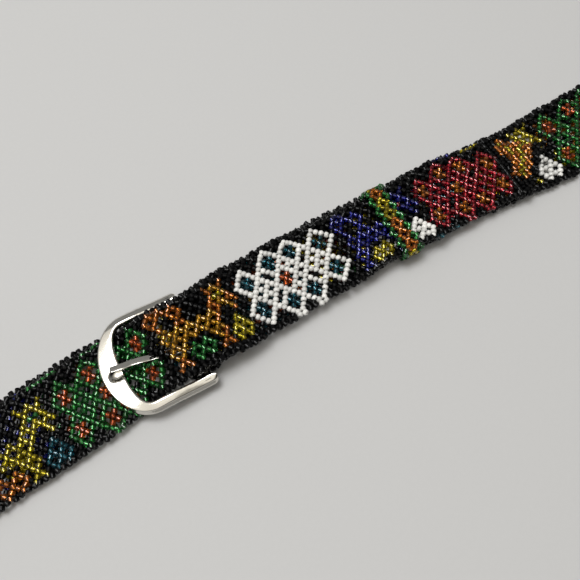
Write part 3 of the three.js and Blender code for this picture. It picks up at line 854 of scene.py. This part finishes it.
def keeperLine():
    # The middle line of the ring, as points of (across, level) from the middle of its top towards the viewer
    half = keeper["halfWidth"]
    top = keeper["top"] - keeper["thickness"] / 2
    bottom = keeper["bottom"] + keeper["thickness"] / 2
    r = keeper["corner"]
    line = [(0, top)]
    for cx, cy, start in ((half - r, top - r, 90), (half - r, bottom + r, 0), (-half + r, bottom + r, -90),
                          (-half + r, top - r, -180)):
        for step in range(7):
            angle = math.radians(start - 15 * step)
            line.append((cx + r * math.cos(angle), cy + r * math.sin(angle)))
    line.append((0, top))
    return np.array(line)


ringLine = keeperLine()
ringRun = np.concatenate([[0], np.cumsum(np.hypot(*np.diff(ringLine, axis=0).T))])
ringLength = ringRun[-1]


def ringSpot(share, alongBelt):
    # A place on the keeper: share of the way round it, and how far along the belt from its middle
    run = (share % 1.0) * ringLength
    across = np.interp(run, ringRun, ringLine[:, 0])
    level = np.interp(run, ringRun, ringLine[:, 1])
    ahead = (run + 0.2) % ringLength
    turn = unit(np.array([np.interp(ahead, ringRun, ringLine[:, 0]) - across,
                          np.interp(ahead, ringRun, ringLine[:, 1]) - level]))
    at = keeper["at"] + alongBelt
    spot = placeOnBelt(at, across + keeper["side"], level)
    heading = float(headingAt(at))
    toViewer = np.array([math.sin(heading), -math.cos(heading), 0])
    along = np.array([math.cos(heading), math.sin(heading), 0])
    around = toViewer * turn[0] + np.array([0, 0, 1]) * turn[1]
    return spot, around, along, np.cross(around, along)


ring = {"place": [], "axis": [], "up": [], "color": []}
ringThreads = {"start": [], "end": [], "up": []}
ringNodes = {}
for row in range(-2, 3):
    for cell in range(keeper["cells"]):
        share = (cell + (0.5 if row % 2 == 0 else 0) + keeper["shift"]) / keeper["cells"]
        ringNodes[(cell * 2 + (1 if row % 2 == 0 else 0), row)] = ringSpot(share, row * keeper["rowPitch"])
aroundCount = 2 * keeper["cells"]
for (twice, row), (spot, around, along, up) in ringNodes.items():
    diamond = keeper["diamonds"][((twice + 1) // 2) % keeper["cells"]]
    color = keeper["edgeColor"] if abs(row) == 2 else diamond
    axis = around if abs(row) == 2 else along
    addTo(ring, spot + up * chance.normal(0, keeper["wander"]), axis, up, color)
    if row == 2:
        continue
    for step in (-1, 1):
        other = ringNodes[((twice + step) % aroundCount, row + 1)]
        green = row == -2 or row == 1
        cell = ((twice + (1 if step > 0 else 0)) // 2) % keeper["cells"]
        sideColor = keeper["edgeColor"] if green else keeper["diamonds"][cell]
        middle = (spot + other[0]) / 2 + up * chance.normal(0, keeper["wander"])
        addTo(ring, middle, other[0] - spot, up, sideColor)
        addTo(ringThreads, spot, other[0], up)
keeperBeads = beadPiece("keeper_beads", np.array(ring["place"]), np.array(ring["axis"]), np.array(ring["up"]),
                        ring["color"], fineBeads)
keeperThread = threadPiece("keeper_thread", *(np.array(v) for v in ringThreads.values()))
for piece in (keeperBeads, keeperThread):
    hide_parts("keeper")
print("stage: keeper,", len(ring["place"]), "beads")


# The buckle

buckle = {
    "length": 35.2,
    "width": 38.2,
    "thickness": 2.5,
    "frontWidth": 7.6,
    "frontDepth": 14.0,
    "armWidth": 3.9,
    "archRise": 1.2,
    "barInset": 3.5,
    "barWidth": 4.0,
    "barHeight": 2.0,
    "frontLevel": 5.85,
    "innerStrip": 0.8,
    "armBevel": 0.95,
    "frontBevel": 0.55,
    "armFall": 0.28,
    "frontFall": 0.06,
    "faceSteps": 9,
    "notch": {"along": -26.0, "left": -0.6, "length": 2.9, "width": 2.3, "depth": 1.3},
}


def armLevel(along):
    front = buckle["barInset"] - buckle["length"]
    share = min(max((along - front) / (0 - front), 0), 1)
    level = buckle["frontLevel"] + (barLevel - buckle["frontLevel"]) * share
    return level + buckle["archRise"] * math.sin(math.pi * share) ** 2


def buckleRings():
    # Rings from one arm's end to the front's middle, then mirrored: inner edge, outer edge, level and
    # how far the corner has turned
    outerHalf = buckle["width"] / 2
    innerHalf = outerHalf - buckle["armWidth"]
    corner = buckle["barInset"] - buckle["length"] + buckle["frontDepth"]
    rings = []
    endSteps, armSteps, cornerSteps = 10, 20, 60
    for i in range(1, endSteps + 1):  # the rounded end of the arm
        angle = math.radians(90 * i / endSteps)
        inset = (1 - math.sin(angle)) * buckle["armWidth"] / 2.4
        along = buckle["barInset"] - buckle["armWidth"] / 2 * (1 - math.cos(angle))
        rings.append(((along, innerHalf + inset), (along, outerHalf - inset), armLevel(along), 0))
    armStart = buckle["barInset"] - buckle["armWidth"] / 2
    for i in range(1, armSteps):
        along = armStart + (corner - armStart) * i / armSteps
        rings.append(((along, innerHalf), (along, outerHalf), armLevel(along), 0))
    for i in range(cornerSteps + 1):
        angle = math.pi / 2 * i / cornerSteps
        outer = (corner - buckle["frontDepth"] * math.sin(angle), outerHalf * math.cos(angle))
        innerDepth = buckle["frontDepth"] - buckle["frontWidth"]
        inner = (corner - innerDepth * math.sin(angle) ** 0.8, innerHalf * max(0, math.cos(angle)) ** 0.8)
        rings.append((inner, outer, armLevel(outer[0]), math.sin(angle) ** 2))
    mirrored = [((a[0], -a[1]), (b[0], -b[1]), level, turn) for a, b, level, turn in reversed(rings[:-1])]
    return rings + mirrored


def buckleSection(width, turn):
    # The frame's section as (out, up) shares: an inner strip, a face that falls outwards, a fine line
    # and a steep bevel
    width = max(width, buckle["armWidth"])
    bevel = 1 - (buckle["armBevel"] * (1 - turn) + buckle["frontBevel"] * turn) / width
    fall = buckle["armFall"] * (1 - turn) + buckle["frontFall"] * turn
    strip = buckle["innerStrip"] / width
    face = []
    for i in range(buckle["faceSteps"] + 1):
        share = i / buckle["faceSteps"]
        face.append((bevel + (strip - bevel) * share, 1 - fall * (1 - share) ** 1.3))
    low = 1 - fall
    return ([(0, 0.06), (0.02, 0), (0.98, 0), (1, 0.05), (1, 0.2), (1 - 0.06 * (1 - bevel), 0.24),
             (bevel + 0.12 * (1 - bevel), low - 0.1), (bevel + 0.04 * (1 - bevel), low - 0.07)]
            + face + [(strip * 0.5, 0.97), (strip * 0.15, 0.9), (0, 0.78), (0, 0.4)])


def sweepFaces(rings, corners):
    # Quads that join each ring of points to the next one
    return [(i * corners + j, i * corners + (j + 1) % corners,
             (i + 1) * corners + (j + 1) % corners, (i + 1) * corners + j)
            for i in range(rings - 1) for j in range(corners)]


def buckleMesh():
    points = []
    notch = buckle["notch"]
    for inner, outer, level, turn in buckleRings():
        section = buckleSection(math.dist(inner, outer), turn)
        for out, up in section:
            x = inner[0] + (outer[0] - inner[0]) * out
            y = inner[1] + (outer[1] - inner[1]) * out
            near = ((x - notch["along"]) / notch["length"]) ** 2 + ((y - notch["left"]) / notch["width"]) ** 2
            dip = notch["depth"] * max(0, 1 - near) ** 0.5 if up > 0.5 else 0
            points.append((x, y, level + (up - 0.5) * buckle["thickness"] - dip))
    corners = len(section)
    rings = len(points) // corners
    faces = sweepFaces(rings, corners)
    last = (rings - 1) * corners
    for j in range(corners // 2 - 1):  # close the two arm ends
        a, b, c, d = j, j + 1, corners - 2 - j, corners - 1 - j
        faces.append((d, c, b, a))
        faces.append((last + a, last + b, last + c, last + d))
    return np.array(points), np.array(faces)


framePoints, frameFaces = buckleMesh()
buckleFrame = meshObject("buckle_body", fromBuckle(framePoints) * mm, frameFaces, [chrome])
subdivide = buckleFrame.modifiers.new("rounding", "SUBSURF")
subdivide.levels = 1
subdivide.render_levels = 1
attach(buckleFrame, "root")
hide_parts("buckle_frame")


def tubeMesh(centres, profile):
    # Sweeps a flat profile along points in the buckle's frame that lie in one upright plane
    centres = np.asarray(centres, float)
    run = unit(np.gradient(centres, axis=0))
    side = np.array([0, 1, 0])
    up = unit(np.cross(run, side))
    points = []
    for centre, normal in zip(centres, up):
        for across, out in profile:
            points.append(centre + side * across + normal * out)
    return np.array(points), np.array(sweepFaces(len(centres), len(profile)))


def roundedProfile(width, height, radius, steps=4):
    profile = []
    for cx, cy, start in ((1, 1, 0), (-1, 1, 90), (-1, -1, 180), (1, -1, 270)):
        for i in range(steps + 1):
            angle = math.radians(start + 90 * i / steps)
            profile.append((cx * (width / 2 - radius) + radius * math.cos(angle),
                            cy * (height / 2 - radius) + radius * math.sin(angle)))
    return profile


def sweptObject(name, points, faces, corners):
    mesh = bpy.data.meshes.new(name)
    rings = len(points) // corners
    caps = [tuple(range(corners)), tuple((rings - 1) * corners + corners - 1 - j for j in range(corners))]
    mesh.from_pydata([tuple(p * mm) for p in points], [], [tuple(reversed(f)) for f in faces.tolist()] + caps)
    mesh.materials.append(chrome)
    mesh.update()
    for polygon in mesh.polygons[:len(faces)]:
        polygon.use_smooth = True
    piece = bpy.data.objects.new(name, mesh)
    bpy.context.scene.collection.objects.link(piece)
    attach(piece, "root")
    return piece


barLine = [(0, (buckle["width"] - buckle["armWidth"]) * (i / 12 - 0.5), barLevel) for i in range(13)]
barPoints = []
barProfile = roundedProfile(buckle["barWidth"], buckle["barHeight"], buckle["barHeight"] / 2 - 0.01, 6)
for x, y, z in barLine:
    barPoints += [(x + a, y, z + b) for a, b in barProfile]
barCorners = len(barProfile)
barFaces = np.array(sweepFaces(len(barLine), barCorners))
buckleBar = sweptObject("buckle_bar", fromBuckle(np.array(barPoints)), barFaces[:, ::-1], barCorners)
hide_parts("buckle_frame")


def prongPoints():
    flatHalf = (buckle["barWidth"] - buckle["barHeight"]) / 2
    radius = prong["topLevel"] - barLevel
    room = prong["width"] / 2 * math.tan(math.radians(prong["turn"]))
    line = [(-flatHalf - 1, 0, barLevel - radius)]
    for i in range(17):
        angle = math.radians(-90 + 180 * i / 16)
        line.append((flatHalf + room + radius * math.cos(angle), 0, barLevel + radius * math.sin(angle)))
    for reach in np.linspace(2, prong["reach"], 40):
        level = float(easeTable(prong["levels"], reach))
        line.append((-reach, 0, level))
    return line


prongProfile = [(across, out + (prong["topFall"] * (across / prong["width"] + 0.5) if out < 0 else 0))
                for across, out in roundedProfile(prong["width"], prong["thickness"], prong["edgeRadius"])]
points, faces = tubeMesh(prongPoints(), prongProfile)
turn = math.radians(-prong["turn"])
turned = np.stack([points[:, 0] * math.cos(turn) - points[:, 1] * math.sin(turn),
                   points[:, 0] * math.sin(turn) + points[:, 1] * math.cos(turn) - prong["side"],
                   points[:, 2]], 1)
prongPiece = sweptObject("prong_body", fromBuckle(turned), faces, len(prongProfile))
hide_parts("prong")
print("stage: buckle and prong")


# Floor, light and camera

studio = {
    "floorColor": "c8c8c8",
    "overhead": "c8c4ba",
    "farWall": "8c8c8b",
    "nearRoom": "141416",
    "skirting": "9c9b98",
    "worldStrength": 1.0,
    "reflector": {"place": (-525, 75, 1400), "size": 2340, "power": 8.5, "color": "fffaf2"},
    "softbox": {"place": (-200, 320, 1450), "size": 690, "power": 13.0, "color": "fdfeff"},
}
camera = {
    "place": (-57.7, -82.3, 213.6),
    "target": (-10.41, -5.61, 6.3),
    "focalPixels": 626.0,
    "framePixels": 580.0,
    "sensor": 36.0,
}


def floorMaterial(name):
    # Pale uncoated card: the soft even ground under the belt
    material = newMaterial(name)
    fibres = noisePattern(material, 1.5, 3.0)
    tint = addNode(material, "HueSaturation", {
        "Value": remap(material, fibres, 0.97, 1.0), "Color": linearColor(studio["floorColor"])})
    return finishMaterial(material, {
        "Base Color": tint.outputs["Color"], "Roughness": 0.75,
        "Normal": relief(material, fibres, 0.1, 0.05)})


floorHalf = 1.6
floorPoints = [(-floorHalf, -floorHalf, 0), (floorHalf, -floorHalf, 0), (floorHalf, floorHalf, 0),
               (-floorHalf, floorHalf, 0)]
floor = meshObject("floor", floorPoints, [(0, 1, 2, 3)], [floorMaterial("paleCard")], smooth=False)


def areaLight(name, values):
    light = bpy.data.lights.new(name, "AREA")
    light.shape = "DISK"
    light.size = values["size"] * mm
    light.energy = values["power"]
    light.color = linearColor(values["color"])[:3]
    lamp = bpy.data.objects.new(name, light)
    lamp.location = Vector(values["place"]) * mm
    lamp.rotation_mode = "QUATERNION"
    lamp.rotation_quaternion = (-lamp.location).to_track_quat("-Z", "Y")
    bpy.context.scene.collection.objects.link(lamp)


areaLight("reflector", studio["reflector"])
areaLight("softbox", studio["softbox"])

world = bpy.data.worlds.new("studio")
bpy.context.scene.world = world
world.use_nodes = True
world.node_tree.nodes.clear()
coords = addNode(world, "TexCoord")
split = addNode(world, "SeparateXYZ", {"Vector": coords.outputs["Generated"]})
away = addNode(world, "MapRange", {"Value": split.outputs["Y"], "From Min": -0.5, "From Max": 0.5})
above = addNode(world, "MapRange", {"Value": split.outputs["Z"], "From Min": 0.12, "From Max": 0.35})
rise = addNode(world, "MapRange", {"Value": split.outputs["Z"], "From Min": 0.72, "From Max": 0.95})
around = blend(world, away.outputs["Result"], linearColor(studio["nearRoom"]), linearColor(studio["farWall"]))
walls = blend(world, above.outputs["Result"], linearColor(studio["skirting"]), around)
sky = blend(world, rise.outputs["Result"], walls, linearColor(studio["overhead"]))
glow = addNode(world, "Background", {"Color": sky, "Strength": studio["worldStrength"]})
addNode(world, "OutputWorld", {"Surface": glow.outputs["Background"]})

cameraData = bpy.data.cameras.new("camera")
cameraData.sensor_width = camera["sensor"]
cameraData.lens = camera["focalPixels"] / camera["framePixels"] * camera["sensor"]
cameraData.clip_start = 0.01
cameraObject = bpy.data.objects.new("camera", cameraData)
cameraObject.location = Vector(camera["place"]) * mm
cameraObject.rotation_mode = "QUATERNION"
look = Vector(camera["target"]) * mm - cameraObject.location
cameraObject.rotation_quaternion = look.to_track_quat("-Z", "Y")
bpy.context.scene.collection.objects.link(cameraObject)
bpy.context.scene.camera = cameraObject
bpy.context.scene.view_settings.view_transform = "Standard"
print("stage: floor, light and camera")
